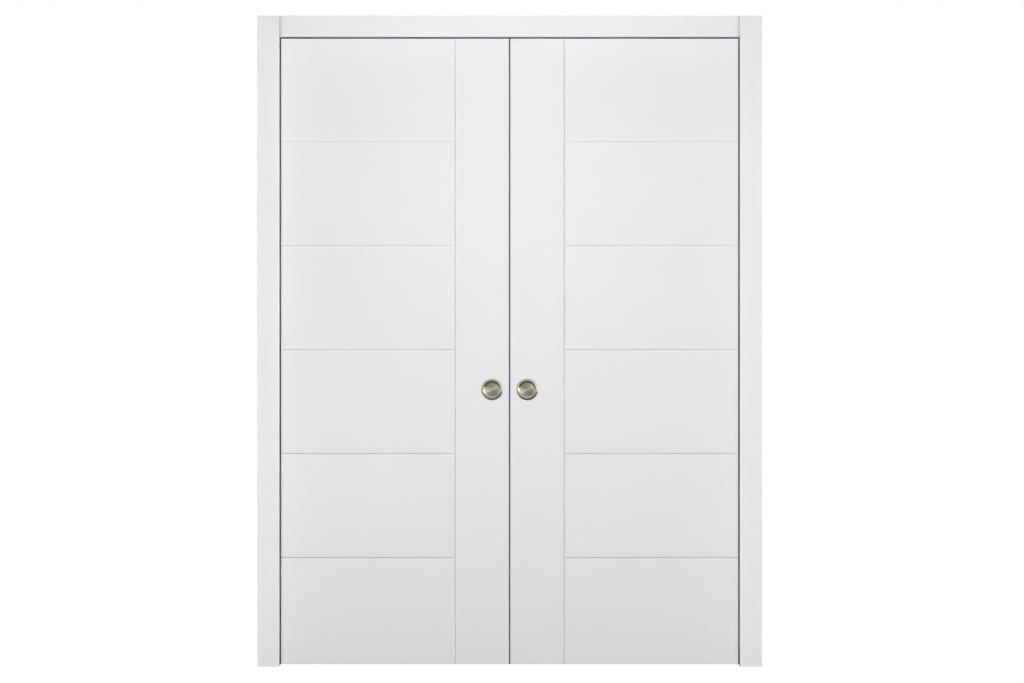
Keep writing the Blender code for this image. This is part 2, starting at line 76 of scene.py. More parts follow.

# Pulls
PULL_HOLE_RADIUS = 28.5 * MM
PULL_PATCH_HALF = 34 * MM
PULL_RADIUS = 35 * MM
PULL_MOUTH_RADIUS = 27 * MM
PULL_DEPTH = 11 * MM
PULL_CREST = 2.2 * MM
PULL_CREST_INSET = 2 * MM  # from the mouth out to the crest of the rim
PULL_EDGE = 0.6 * MM  # height of the rim at its outer edge
PULL_SLOPE_POWER = 1.3  # one is a straight slope down to that edge, and more rounds it over
PULL_WALL = 1.2 * MM
PULL_FLOOR_ROUND = 4 * MM
PULL_FLOOR_CROWN = 0.5 * MM
PULL_SEGMENTS = 128
PULL_HOLE_SEGMENTS = 64
PULL_FLOOR_STEPS = 10
PULL_ROUND_STEPS = 8
PULL_CREST_STEPS = 10
PULL_SLOPE_STEPS = 12

# Boards and seals
LEG_SLOPE_WIDTH = 5 * MM
LEG_SLOPE_DEPTH = 2.6 * MM
HEAD_END_WIDTH = 13 * MM
HEAD_END_RADIUS = 18.4 * MM
HEAD_END_STEPS = 8
HEAD_END_SHADE = 0.25  # painted shade: how much darker the paint is at the ends of the head
LEG_LIP_LIGHT = 0.1  # painted highlight: how much lighter it is along the inner edge of a leg
LEG_SHARP_ANGLE = 14  # degrees, low enough to keep the line where the slope starts
LEG_EASE_STEPS = 8
BOARD_EASE = 1 * MM
SMALL_EASE = BOARD_EASE / 2
CAST_EASE_STEPS = 4
MOULDED_EASE = 0.4 * MM
SEAT_GAP = 0.3 * MM
SEAL_CARRIER = 1.3 * MM
SEAL_FOOT_CLEAR = 5 * MM
SEAL_PILE_INSET = 1.2 * MM
SEAL_PILE_SHORT = 0.6 * MM
SEAL_PILE_ROUND = 1.4 * MM
SEAL_PILE_STEPS = 4
MEETING_LIP_SET_BACK = 1.8 * MM
MEETING_LIP_GAP = 0.01 * MM  # from each strip to the line where the leaves meet
MEETING_LIP_ROUND = 0.5 * MM

# Rails and hangers
RAIL_WALL = 2.2 * MM
RAIL_SLOT_HALF = 5.5 * MM
RAIL_CORNER_ROUND = 0.6 * MM
RAIL_HOLE_RADIUS = 2.6 * MM
RAIL_HOLE_PATCH = 5 * MM
RAIL_HOLE_SEGMENTS = 24
RAIL_HOLES = 6
WHEEL_WIDTH = 5 * MM
WHEEL_ROUND = 1 * MM
WHEEL_ROUND_STEPS = 4
WHEEL_DISH = 0.8 * MM
WHEEL_RIM = 1.8 * MM
AXLE_RADIUS = 2 * MM
AXLE_CHAMFER = AXLE_RADIUS / 5
AXLE_PLAY = SEAT_GAP / 10  # keeps the axle off the bore of its wheels
WHEEL_HUB_RADIUS = 1.8 * AXLE_RADIUS
TURNED_SEGMENTS = 64  # of a wheel, and half as many for axles, bolts and screws
PLATE_CORNER = 4 * MM
PLATE_CORNER_STEPS = 6
PLATE_SCREWS = {"end": 0.84, "inner": 0.5}  # share of the way from the middle of a plate to its end
SCREW_HEAD_RADIUS = 3.4 * MM
SCREW_CROWN = 0.5 * MM
SCREW_CROWN_STEPS = 6
SCREW_CROSS_HALF = SCREW_HEAD_RADIUS / 5
SCREW_CROSS_REACH = 0.65 * SCREW_HEAD_RADIUS
SCREW_CROSS_DEPTH = SCREW_HEAD_RADIUS / 4
BOLT_RADIUS = 3 * MM
BOLT_HEAD_RADIUS = 5.5 * MM
BOLT_HEAD_HEIGHT = 4 * MM
BOLT_HEAD_SIDES = 6
THREAD_PITCH = 1 * MM
THREAD_DEPTH = 0.5 * MM

# Photograph: the size of one of its 1024 by 683 pixels at the wall, and the point behind its middle
IMAGE_WIDTH = 1024
PIXEL = 3.2245 * MM
VIEW_CENTRE_X = 7.6 * MM
VIEW_CENTRE_Z = 1047.9 * MM
VIEW_DISTANCE = 25.0
SENSOR_WIDTH = 36.0

# Stage
WALL_FACE = 57.15 * MM  # from the middle of the wall to its front
WALL_HALF_WIDTH = 1.85
WALL_HEIGHT = 2.6
DOORWAY_HALF = 0.78
DOORWAY_TOP = 2.098
FLOOR_SIZE = 120.0
ROOM_SPREAD = 0.4  # how far above and below level the room in reflections turns from dark to bright
ROOM_DARK = 0.05
ROOM_BRIGHT = 0.95
ROOM_BOUNCE = 0.06  # what the room adds to the light that bounces
STAGE_IN_METAL = 0.3  # how much of the floor's and the wall's tone shows in reflections
NEUTRAL = (1.0, 1.0, 1.0)
COOL = (0.99, 0.982, 1.0)
WARM = (1.0, 0.995, 0.96)
TALL_CARD_POWER = {"left": 15, "right": 75}


def new_finish(name, colour, roughness, metallic=0.0):
    """A plain Principled finish, which the functions below give its pattern."""
    finish = bpy.data.materials.new(name)
    finish.use_nodes = True
    shader = finish.node_tree.nodes["Principled BSDF"]
    shader.inputs["Base Color"].default_value = (*colour, 1)
    shader.inputs["Roughness"].default_value = roughness
    shader.inputs["Metallic"].default_value = metallic
    return finish


def shader_of(finish):
    return finish.node_tree.nodes["Principled BSDF"]


def lay(finish, texture, source, stretch, turn=(0, 0, 0)):
    """Lays a texture on a source of coordinates, turned and drawn out."""
    links = finish.node_tree.links
    mapping = finish.node_tree.nodes.new("ShaderNodeMapping")
    mapping.inputs["Scale"].default_value = stretch
    mapping.inputs["Rotation"].default_value = turn
    links.new(source, mapping.inputs["Vector"])
    links.new(mapping.outputs["Vector"], texture.inputs["Vector"])


def speckle(finish, scale, stretch=(1, 1, 1), detail=3.0):
    """Noise on the piece's own coordinates, drawn out by its stretch."""
    nodes = finish.node_tree.nodes
    noise = nodes.new("ShaderNodeTexNoise")
    noise.inputs["Scale"].default_value = scale
    noise.inputs["Detail"].default_value = detail
    lay(finish, noise, nodes.new("ShaderNodeTexCoord").outputs["Object"], stretch)
    return noise.outputs["Fac"]


def tint(finish, source, dark, light):
    """Lets the colour wander between two tones."""
    ramp = finish.node_tree.nodes.new("ShaderNodeValToRGB")
    for stop, position, tone in zip(ramp.color_ramp.elements, TINT_RANGE, (dark, light)):
        stop.position = position
        stop.color = (*tone, 1)
    finish.node_tree.links.new(source, ramp.inputs["Fac"])
    finish.node_tree.links.new(ramp.outputs["Color"], shader_of(finish).inputs["Base Color"])


def dull(finish, source, low, high):
    """Lets the roughness wander between two values."""
    spread = finish.node_tree.nodes.new("ShaderNodeMapRange")
    spread.inputs["To Min"].default_value = low
    spread.inputs["To Max"].default_value = high
    finish.node_tree.links.new(source, spread.inputs["Value"])
    finish.node_tree.links.new(spread.outputs["Result"], shader_of(finish).inputs["Roughness"])


def emboss(finish, source, strength, height):
    """Adds a fine relief over any that is there already."""
    links = finish.node_tree.links
    bump = finish.node_tree.nodes.new("ShaderNodeBump")
    bump.inputs["Strength"].default_value = strength
    bump.inputs["Distance"].default_value = height
    links.new(source, bump.inputs["Height"])
    normal = shader_of(finish).inputs["Normal"]
    if normal.is_linked:
        links.new(normal.links[0].from_socket, bump.inputs["Normal"])
    links.new(bump.outputs["Normal"], normal)


def take_shade(finish):
    """Darkens the colour by the painted shade that the piece carries, or lightens it as painted light below
    nought.
    """
    nodes = finish.node_tree.nodes
    links = finish.node_tree.links
    shade = nodes.new("ShaderNodeAttribute")
    shade.attribute_name = "shade"
    left = nodes.new("ShaderNodeMath")
    left.operation = "SUBTRACT"
    left.inputs[0].default_value = 1
    links.new(shade.outputs["Fac"], left.inputs[1])
    scaled = nodes.new("ShaderNodeVectorMath")
    scaled.operation = "SCALE"
    colour = shader_of(finish).inputs["Base Color"]
    links.new(colour.links[0].from_socket, scaled.inputs[0])
    links.new(left.outputs[0], scaled.inputs["Scale"])
    links.new(scaled.outputs[0], colour)


def satin_paint(name, dark, light):
    """White satin paint: a fine sprayed texture, a slow drift of tone, and a sheen that isn't quite even."""
    paint = new_finish(name, light, 0.4)
    tint(paint, speckle(paint, 2.2), dark, light)
    dull(paint, speckle(paint, 9, detail=5), 0.42, 0.5)
    emboss(paint, speckle(paint, 420, detail=2), 0.06, 0.12 * MM)
    emboss(paint, speckle(paint, 75, detail=1), 0.05, 0.2 * MM)
    # the pieces carry painted shade and painted highlights, which this lays on the colour
    take_shade(paint)
    return paint


def satin_nickel():
    """Turned nickel: rings of fine tool marks, kept along the turning by the piece's own map."""
    nickel = new_finish("satin nickel", (0.50, 0.48, 0.40), 0.3, 1.0)
    nodes = nickel.node_tree.nodes
    around = nodes.new("ShaderNodeTangent")
    around.direction_type = "UV_MAP"
    around.uv_map = "turning"
    nickel.node_tree.links.new(around.outputs["Tangent"], shader_of(nickel).inputs["Tangent"])
    shader_of(nickel).inputs["Anisotropic"].default_value = 0.75
    shader_of(nickel).inputs["Anisotropic Rotation"].default_value = 0.25
    rings = nodes.new("ShaderNodeUVMap")
    rings.uv_map = "turning"
    noise = nodes.new("ShaderNodeTexNoise")
    noise.inputs["Scale"].default_value = 1
    noise.inputs["Detail"].default_value = 5
    lay(nickel, noise, rings.outputs["UV"], (0.8, 60, 1))
    marks = noise.outputs["Fac"]
    tint(nickel, marks, (0.44, 0.414, 0.347), (0.53, 0.50, 0.422))
    dull(nickel, marks, 0.24, 0.38)
    emboss(nickel, marks, 0.12, 0.05 * MM)
    return nickel


def anodised_aluminium():
    """Drawn aluminium with die lines along its length."""
    aluminium = new_finish("anodised aluminium", (0.62, 0.63, 0.65), 0.34, 1.0)
    lines = speckle(aluminium, 900, (0.004, 1, 1), 4)
    tint(aluminium, lines, (0.56, 0.57, 0.59), (0.67, 0.68, 0.70))
    dull(aluminium, speckle(aluminium, 14), 0.3, 0.42)
    emboss(aluminium, lines, 0.12, 0.05 * MM)
    return aluminium


def zinc_plated_steel():
    steel = new_finish("zinc plated steel", (0.55, 0.56, 0.58), 0.3, 1.0)
    tint(steel, speckle(steel, 160, detail=4), (0.48, 0.49, 0.52), (0.62, 0.62, 0.60))
    dull(steel, speckle(steel, 300), 0.24, 0.42)
    emboss(steel, speckle(steel, 900), 0.08, 0.04 * MM)
    return steel


def cast_zinc():
    zinc = new_finish("cast zinc", (0.42, 0.43, 0.45), 0.5, 1.0)
    tint(zinc, speckle(zinc, 240, detail=5), (0.36, 0.37, 0.39), (0.48, 0.49, 0.50))
    dull(zinc, speckle(zinc, 420), 0.42, 0.6)
    emboss(zinc, speckle(zinc, 1100), 0.2, 0.08 * MM)
    return zinc


def white_nylon():
    nylon = new_finish("white nylon", (0.72, 0.72, 0.70), 0.42)
    tint(nylon, speckle(nylon, 120), (0.68, 0.68, 0.655), (0.75, 0.75, 0.735))
    dull(nylon, speckle(nylon, 500), 0.36, 0.5)
    emboss(nylon, speckle(nylon, 1500), 0.1, 0.04 * MM)
    shader_of(nylon).inputs["Subsurface Weight"].default_value = 0.15
    shader_of(nylon).inputs["Subsurface Radius"].default_value = (0.002, 0.002, 0.002)
    return nylon


def black_rubber():
    rubber = new_finish("black rubber", (0.016, 0.016, 0.018), 0.6)
    tint(rubber, speckle(rubber, 300, detail=4), (0.016, 0.016, 0.018), (0.03, 0.03, 0.032))
    dull(rubber, speckle(rubber, 700), 0.52, 0.72)
    emboss(rubber, speckle(rubber, 1600), 0.2, 0.05 * MM)
    return rubber


def dark_pile():
    """Short woven pile: tufts side by side along the strip, with dusty tips."""
    pile = new_finish("dark pile", (0.03, 0.03, 0.032), 0.9)
    tufts = speckle(pile, 1400, (1, 0.12, 1), 4)
    tint(pile, tufts, (0.014, 0.014, 0.016), (0.05, 0.05, 0.054))
    emboss(pile, tufts, 0.7, 0.4 * MM)
    shader_of(pile).inputs["Sheen Weight"].default_value = 0.25
    shader_of(pile).inputs["Sheen Roughness"].default_value = 0.5
    return pile


def planed_softwood():
    """Planed softwood with its grain along the board."""
    wood = new_finish("planed softwood", (0.62, 0.46, 0.29), 0.6)
    nodes = wood.node_tree.nodes
    place = nodes.new("ShaderNodeTexCoord")
    rings = nodes.new("ShaderNodeTexWave")
    rings.wave_type = "BANDS"
    rings.bands_direction = "Y"
    rings.inputs["Scale"].default_value = 1.6
    rings.inputs["Distortion"].default_value = 3.5
    rings.inputs["Detail"].default_value = 3
    lay(wood, rings, place.outputs["Object"], (0.5, 14, 14), (0.5, 0, 0))
    tint(wood, rings.outputs["Fac"], (0.50, 0.33, 0.18), (0.70, 0.54, 0.36))
    fibres = speckle(wood, 700, (0.02, 1, 1), 4)
    dull(wood, fibres, 0.52, 0.7)
    emboss(wood, fibres, 0.25, 0.1 * MM)
    return wood


def placed_piece(bm, name, body, finish, nodes=(), sharp=SHARP_ANGLE):
    """Makes a finished piece from a mesh in place, on its body, and in place of the nodes it stands for."""
    bmesh.ops.remove_doubles(bm, verts=bm.verts, dist=TOUCH)
    bmesh.ops.recalc_face_normals(bm, faces=bm.faces)
    mesh = bpy.data.meshes.new(name)
    bm.to_mesh(mesh)
    bm.free()
    mesh.shade_smooth()
    mesh.set_sharp_from_angle(angle=math.radians(sharp))
    mesh.materials.append(finish)
    piece = bpy.data.objects.new(name, mesh)
    bpy.context.scene.collection.objects.link(piece)
    normals = piece.modifiers.new("Even normals", "WEIGHTED_NORMAL")
    normals.keep_sharp = True
    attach(piece, body)
    if nodes:
        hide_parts(*nodes)


def side_at(box, axis, sign):
    """Where a box ends along an axis, or against it."""
    return box[1][axis] if sign > 0 else box[0][axis]


def runs_along(edge, axis):
    """Whether the ends of an edge lie at two places along an axis."""
    return abs(edge.verts[0].co[axis] - edge.verts[1].co[axis]) > TOUCH


def verts_in(items):
    """The corners among the things that an operator gives back."""
    return [item for item in items if isinstance(item, bmesh.types.BMVert)]


def cut_across(bm, axis, place):
    """A straight row of edges all across the mesh, at a place along one of the axes."""
    direction = Vector((0, 0, 0))
    direction[axis] = 1
    geometry = bm.verts[:] + bm.edges[:] + bm.faces[:]
    bmesh.ops.bisect_plane(bm, geom=geometry, plane_co=direction * place, plane_no=direction, dist=TOUCH / 10)


def block(low, high):
    """A plain block between two corners, to be eased or drilled."""
    placing = Matrix.Translation((low + high) / 2) @ Matrix.Diagonal((*(high - low), 1))
    bm = bmesh.new()
    bmesh.ops.create_cube(bm, size=1, matrix=placing)
    return bm


def ease(bm, edges, radius, segments):
    bmesh.ops.bevel(
        bm,
        geom=edges,
        offset=radius,
        offset_type="OFFSET",
        segments=segments,
        profile=0.5,
        affect="EDGES",
        material=-1,
        clamp_overlap=True,
    )


def drill(bm, centre, half, radius, segments):
    """Opens a round hole in the level face that fills a square patch, and gives the hole's edges."""
    centre = Vector(centre)
    patch = [face for face in bm.faces if (face.calc_center_median() - centre).length < TOUCH * 10]
    sides = list(patch[0].edges)
    bmesh.ops.subdivide_edges(bm, edges=sides, cuts=segments // 4 - 1)
    bmesh.ops.inset_individual(bm, faces=patch, thickness=half * HOLE_COLLAR, use_even_offset=True)

    def bearing(vert):
        return math.atan2(vert.co.y - centre.y, vert.co.x - centre.x)

    for i, vert in enumerate(sorted(patch[0].verts, key=bearing)):
        angle = (i + 0.5) * 2 * math.pi / segments - math.pi
        vert.co.x = centre.x + radius * math.cos(angle)
        vert.co.y = centre.y + radius * math.sin(angle)
    rim = list(patch[0].edges)
    bmesh.ops.delete(bm, geom=patch, context="FACES_ONLY")
    return rim


def turned(profile, segments):
    """A turned shape from (radius, height) points, about Z. A point on the axis closes an end."""
    bm = bmesh.new()
    chain = [bm.verts.new((radius, 0, height)) for radius, height in profile]
    for start, end in zip(chain, chain[1:]):
        bm.edges.new((start, end))
    bmesh.ops.spin(
        bm,
        geom=bm.verts[:] + bm.edges[:],
        cent=(0, 0, 0),
        axis=(0, 0, 1),
        angle=2 * math.pi,
        steps=segments,
        use_merge=True,
    )
    bmesh.ops.remove_doubles(bm, verts=bm.verts, dist=TOUCH)
    return bm


def arc(centre, radii, start, end, steps):
    """Points of an arc in a (radius, height) profile, angles in degrees."""
    points = []
    for i in range(steps + 1):
        angle = math.radians(start + (end - start) * i / steps)
        points.append((centre[0] + radii[0] * math.cos(angle), centre[1] + radii[1] * math.sin(angle)))
    return points


def face_placing(side, face, origin):
    """Turns leaf coordinates (out from the meeting edge, up, out of the face) into the door's."""
    columns = Matrix(((side, 0, 0), (0, 0, face), (0, 1, 0)))
    return Matrix.Translation(origin) @ columns.to_4x4()


def groove_depth(offset):
    """How deep the paint lies this far from the middle of a groove, whose flanks curve in."""
    share = min(abs(offset) / GROOVE_HALF_WIDTH, 1)
    return GROOVE_DEPTH * (1 - share) ** GROOVE_CURVE


def groove_shade(offset, bottom, lip):
    """How much painted shade darkens the paint this far from the middle of a groove, with a painted highlight
    on the lip beside it.
    """
    beyond = abs(abs(offset) - GROOVE_HALF_WIDTH - GROOVE_LIP) / GROOVE_LIP
    return bottom * groove_depth(offset) / GROOVE_DEPTH - lip * max(1 - beyond, 0)


def cross_shade(v, crossings):
    """The painted shade of the cross grooves, which deepens from the top one down, with a painted highlight
    on the lip below each.
    """
    for i, crossing in enumerate(crossings):
        if abs(v - crossing) < GROOVE_HALF_WIDTH + 2 * GROOVE_LIP:
            up = i / (len(crossings) - 1)
            bottom = CROSS_SHADE[0] * up + CROSS_SHADE[1] * (1 - up)
            lip = CROSS_LIP_LIGHT[0] * up + CROSS_LIP_LIGHT[1] * (1 - up)
            return groove_shade(v - crossing, bottom, lip if v < crossing else 0)
    return 0


def edge_drop(distance):
    """How far the face falls away this close to an eased edge."""
    if distance >= EDGE_EASE:
        return 0
    return EDGE_EASE - math.sqrt(EDGE_EASE**2 - (EDGE_EASE - max(distance, 0)) ** 2)


def skin_lines(width, height):
    """Where a leaf face is cut across for its grooves and edges, and the middles of its cross grooves."""
    groove = [GROOVE_HALF_WIDTH * i / GROOVE_STEPS for i in range(-GROOVE_STEPS, GROOVE_STEPS + 1)]
    groove += [side * (GROOVE_HALF_WIDTH + i * GROOVE_LIP) for side in (-1, 1) for i in (1, 2)]
    easing = [EDGE_EASE * (1 - math.cos(math.pi / 2 * i / EDGE_STEPS)) for i in range(1, EDGE_STEPS + 1)]
    crossings = [height / 2 + (i - (CROSS_GROOVES - 1) / 2) * CROSS_PITCH for i in range(CROSS_GROOVES)]
    across = [STILE_WIDTH + step for step in groove]
    up = [crossing + step for crossing in crossings for step in groove]
    across += easing + [width - step for step in easing]
    up += easing + [height - step for step in easing]
    return across, up, crossings


def skin_sheet(width, height, across, up, pull_u, pull_v):
    """A flat sheet, cut across at its grooves and eased edges, with the hole for its pull."""
    bm = bmesh.new()
    sheet = Matrix.Translation((width / 2, height / 2, 0)) @ Matrix.Diagonal((width, height, 1, 1))
    bmesh.ops.create_grid(bm, x_segments=1, y_segments=1, size=0.5, matrix=sheet)
    for u in across + [pull_u - PULL_PATCH_HALF, pull_u + PULL_PATCH_HALF]:
        cut_across(bm, X, u)
    for v in up + [pull_v - PULL_PATCH_HALF, pull_v + PULL_PATCH_HALF]:
        cut_across(bm, Y, v)
    drill(bm, (pull_u, pull_v, 0), PULL_PATCH_HALF, PULL_HOLE_RADIUS, PULL_HOLE_SEGMENTS)
    return bm


def press_skin(bm, width, height, crossings):
    """Presses a sheet to depth at its grooves and eased edges, and paints shade and highlights there."""
    shade = bm.verts.layers.float.new("shade")
    for vert in bm.verts:
        u, v = vert.co.x, vert.co.y
        depth = groove_depth(u - STILE_WIDTH)
        if u > STILE_WIDTH - TOUCH:
            depth = max(depth, *(groove_depth(v - crossing) for crossing in crossings))
        to_edge = min(u, width - u, v, height - v)
        vert.co.z = -max(depth, edge_drop(to_edge))
        # painted shade in the grooves and on the eased edges, painted highlights on the lips
        vert[shade] = groove_shade(u - STILE_WIDTH, UPRIGHT_SHADE, UPRIGHT_LIP_LIGHT)
        vert[shade] += EDGE_SHADE * max(1 - to_edge / EDGE_EASE, 0)
        if u > STILE_WIDTH + GROOVE_HALF_WIDTH:
            vert[shade] += cross_shade(v, crossings)


def back_sheet(bm, thickness):
    """Gives a sheet its sides, and a flat back."""
    rim = [edge for edge in bm.edges if edge.is_boundary]
    pulled = bmesh.ops.extrude_edge_only(bm, edges=rim)["geom"]
    for vert in verts_in(pulled):
        vert.co.z = -thickness
    back = [item for item in pulled if isinstance(item, bmesh.types.BMEdge)]
    bmesh.ops.triangle_fill(bm, use_beauty=True, use_dissolve=False, edges=back)


def leaf_skin(side_name, face_name, paint):
    """One face of a leaf: a sheet cut across at its grooves, drilled, pressed to depth and backed."""
    node = f"{side_name}_{face_name}_skin"
    side = SIDES[side_name]
    face = FACES[face_name]
    low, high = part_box(node)
    width = high.x - low.x
    height = high.z - low.z
    meeting = side_at((low, high), X, -side)
    outer = side_at((low, high), Y, face)
    pull_low, pull_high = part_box(f"{side_name}_{face_name}_pull")
    pull_u = abs((pull_low.x + pull_high.x) / 2 - meeting)
    pull_v = (pull_low.z + pull_high.z) / 2 - low.z
    across, up, crossings = skin_lines(width, height)
    bm = skin_sheet(width, height, across, up, pull_u, pull_v)
    press_skin(bm, width, height, crossings)
    back_sheet(bm, high.y - low.y)
    bmesh.ops.transform(bm, matrix=face_placing(side, face, (meeting, outer, low.z)), verts=bm.verts)
    placed_piece(bm, f"{side_name}_{face_name}_leaf_face", f"{side_name}_leaf", paint, [node])


def pull_profile():
    """A pull from the middle of its floor, up the cup, over the sloping rim and back under it."""
    floor = -PULL_DEPTH
    corner = PULL_MOUTH_RADIUS - PULL_WALL - PULL_FLOOR_ROUND
    rim_low = (PULL_CREST + SEAT_GAP) / 2
    crest = PULL_MOUTH_RADIUS + PULL_CREST_INSET
    under = PULL_FLOOR_ROUND + PULL_WALL
    points = []
    for i in range(PULL_FLOOR_STEPS):
        share = i / PULL_FLOOR_STEPS
        points.append((corner * share, floor + PULL_FLOOR_CROWN * (1 - share**2)))
    rounding = (corner, floor + PULL_FLOOR_ROUND)
    points += arc(rounding, (PULL_FLOOR_ROUND, PULL_FLOOR_ROUND), -90, 0, PULL_ROUND_STEPS)
    points += arc((crest, rim_low), (PULL_CREST_INSET, PULL_CREST - rim_low), 180, 90, PULL_CREST_STEPS)
    for i in range(1, PULL_SLOPE_STEPS + 1):
        share = i / PULL_SLOPE_STEPS
        fall = (PULL_CREST - PULL_EDGE) * share**PULL_SLOPE_POWER
        points.append((crest + (PULL_RADIUS - crest) * share, PULL_CREST - fall))
    points += [
        (PULL_RADIUS, SEAT_GAP),
        (corner + under, SEAT_GAP),
        *arc(rounding, (under, under), 0, -90, PULL_ROUND_STEPS),
        (0, floor - PULL_WALL),
    ]
    return points


def map_turning(bm):
    """A map whose U runs once round the turning, and whose V grows outwards and with depth."""
    layer = bm.loops.layers.uv.new("turning")
    for face in bm.faces:
        middle = face.calc_center_median()
        around = math.atan2(middle.y, middle.x)
        for loop in face.loops:
            point = loop.vert.co
            radius = math.hypot(point.x, point.y)
            turn = math.atan2(point.y, point.x) if radius > TOUCH else around
            if turn - around > math.pi:
                turn -= 2 * math.pi
            if around - turn > math.pi:
                turn += 2 * math.pi
            loop[layer].uv = (turn / (2 * math.pi), (radius - point.z) / PULL_RADIUS)


def pull(side_name, face_name, nickel):
    """A flush pull, turned about the middle of its node and seated on the face of its leaf."""
    node = f"{side_name}_{face_name}_pull"
    low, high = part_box(node)
    face = FACES[face_name]
    outer = side_at(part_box(f"{side_name}_{face_name}_skin"), Y, face)
    bm = turned(pull_profile(), PULL_SEGMENTS)
    map_turning(bm)
    middle = (low + high) / 2
    placing = face_placing(SIDES[side_name], face, (middle.x, outer, middle.z))
    bmesh.ops.transform(bm, matrix=placing, verts=bm.verts)
    placed_piece(bm, f"{side_name}_{face_name}_flush_pull", f"{side_name}_leaf", nickel, [node])


def board(node, name, body, finish, steps=EASE_STEPS):
    """A board the size of its node, with all its edges eased alike."""
    bm = block(*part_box(node))
    ease(bm, bm.edges[:], BOARD_EASE, steps)
    placed_piece(bm, name, body, finish, [node])


def casing_leg(node, side, face, paint):
    """A casing leg: a shallow slope along its inner edge, its room side eased and its back left square."""
    low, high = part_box(node)
    room = side_at((low, high), Y, face)
    inner = side_at((low, high), X, -side)
    bm = block(low, high)
    cut_across(bm, X, inner + side * LEG_SLOPE_WIDTH)
    for vert in bm.verts:
        if abs(vert.co.x - inner) < TOUCH and abs(vert.co.y - room) < TOUCH:
            vert.co.y -= face * LEG_SLOPE_DEPTH

    def eased(edge):
        middle = (edge.verts[0].co + edge.verts[1].co) / 2
        on_room_side = abs(middle.y - room) < 1.5 * LEG_SLOPE_DEPTH
        at_side = min(abs(middle.x - low.x), abs(middle.x - high.x)) < TOUCH
        at_top = abs(middle.z - high.z) < TOUCH
        return on_room_side and (at_side and abs(middle.z - (low.z + high.z) / 2) < TOUCH or at_top)

    ease(bm, [edge for edge in bm.edges if eased(edge)], BOARD_EASE, LEG_EASE_STEPS)
    head_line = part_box("front_casing_head")[0].z
    cut_across(bm, Z, head_line)
    cut_across(bm, Z, head_line + LEG_SLOPE_WIDTH)
    # painted highlight along the inner edge of the leg, below the head
    shade = bm.verts.layers.float.new("shade")
    for vert in bm.verts:
        at_lip = abs(vert.co.x - inner) < LEG_SLOPE_WIDTH / 2 and abs(vert.co.y - room) < 2 * LEG_SLOPE_DEPTH
        if at_lip and vert.co.z < head_line + TOUCH:
            vert[shade] = -LEG_LIP_LIGHT
    placed_piece(bm, f"{node}_board", "frame", paint, [node], sharp=LEG_SHARP_ANGLE)


def casing_head(node, face, paint):
    """The casing head between the legs: its ends rounded away from the room, its long edges eased."""
    low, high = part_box(node)
    room = side_at((low, high), Y, face)
    bm = block(low, high)
    for i in range(1, HEAD_END_STEPS + 1):
        step = HEAD_END_WIDTH * i / HEAD_END_STEPS
        cut_across(bm, X, low.x + step)
        cut_across(bm, X, high.x - step)
    front = [vert for vert in bm.verts if abs(vert.co.y - room) < TOUCH]
    for vert in front:
        into = HEAD_END_WIDTH - min(vert.co.x - low.x, high.x - vert.co.x)
        if into > 0:
            vert.co.y -= face * (HEAD_END_RADIUS - math.sqrt(HEAD_END_RADIUS**2 - into**2))
    front_edges = [edge for edge in bm.edges if all(vert in front for vert in edge.verts)]
    ease(bm, [edge for edge in front_edges if not runs_along(edge, Z)], SMALL_EASE, EASE_STEPS)
    # painted shade on the rounded ends, darkest at the very end
    shade = bm.verts.layers.float.new("shade")
    for vert in bm.verts:
        into = HEAD_END_WIDTH - min(vert.co.x - low.x, high.x - vert.co.x)
        vert[shade] = HEAD_END_SHADE * max(into / HEAD_END_WIDTH, 0)
    placed_piece(bm, f"{node}_board", "frame", paint, [node])


def between(low, high, axis, start, end):
    """The part of a box that lies between two places along one of its axes."""
    low, high = low.copy(), high.copy()
    low[axis], high[axis] = sorted((start, end))
    return low, high


def pile_seal(node, axis, sign, pile, rubber):
    """A seal: a thin carrier on the jamb, and pile that stands from it towards the middle of the doorway."""
    low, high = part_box(node)
    if axis == X:
        low.z += SEAL_FOOT_CLEAR
    root = side_at((low, high), axis, sign)
    foot = root - sign * SEAL_CARRIER
    tip = side_at((low, high), axis, -sign) + sign * SEAL_PILE_SHORT
    bm = block(*between(low, high, axis, root, foot))
    placed_piece(bm, f"{node}_carrier", "frame", rubber, [node])
    room, leaf = (high.y, low.y) if low.y > 0 else (low.y, high.y)
    room += math.copysign(SEAL_PILE_INSET, leaf - room)
    bm = block(*between(*between(low, high, axis, foot, tip), Y, room, leaf))
    along = Z if axis == X else X
    tip_edges = [edge for edge in bm.edges if all(abs(vert.co[axis] - tip) < TOUCH for vert in edge.verts)]
    ease(bm, [edge for edge in tip_edges if runs_along(edge, along)], SEAL_PILE_ROUND, SEAL_PILE_STEPS)
    placed_piece(bm, f"{node}_tufts", "frame", pile)


def meeting_seal(side_name, rubber):
    """The soft strip on a leaf's meeting edge, set back a little from both faces of the leaf."""
    node = f"{side_name}_meeting_seal"
    low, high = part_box(node)
    skin_low, skin_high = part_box(f"{side_name}_front_skin")
    lip = -skin_low.y - MEETING_LIP_SET_BACK
    low, high = between(low, high, Y, -lip, lip)
    root = min(skin_low.x, skin_high.x, key=abs)
    bm = block(*between(low, high, X, root, math.copysign(MEETING_LIP_GAP, root)))
    ease(bm, [edge for edge in bm.edges if runs_along(edge, Z)], MEETING_LIP_ROUND, EASE_STEPS)
    placed_piece(bm, f"{node}_strip", f"{side_name}_leaf", rubber, [node])


def rail_outline(low, high):
    """The section of a rail, as (y, z) points: a channel with a slot along its foot."""
    half = (high.y - low.y) / 2
    inner = half - RAIL_WALL
    foot = low.z + RAIL_WALL
    roof = high.z - RAIL_WALL
    return [
        (RAIL_SLOT_HALF, low.z),
        (half, low.z),
        (half, high.z),
        (-half, high.z),
        (-half, low.z),
        (-RAIL_SLOT_HALF, low.z),
        (-RAIL_SLOT_HALF, foot),
        (-inner, foot),
        (-inner, roof),
        (inner, roof),
        (inner, foot),
        (RAIL_SLOT_HALF, foot),
    ]


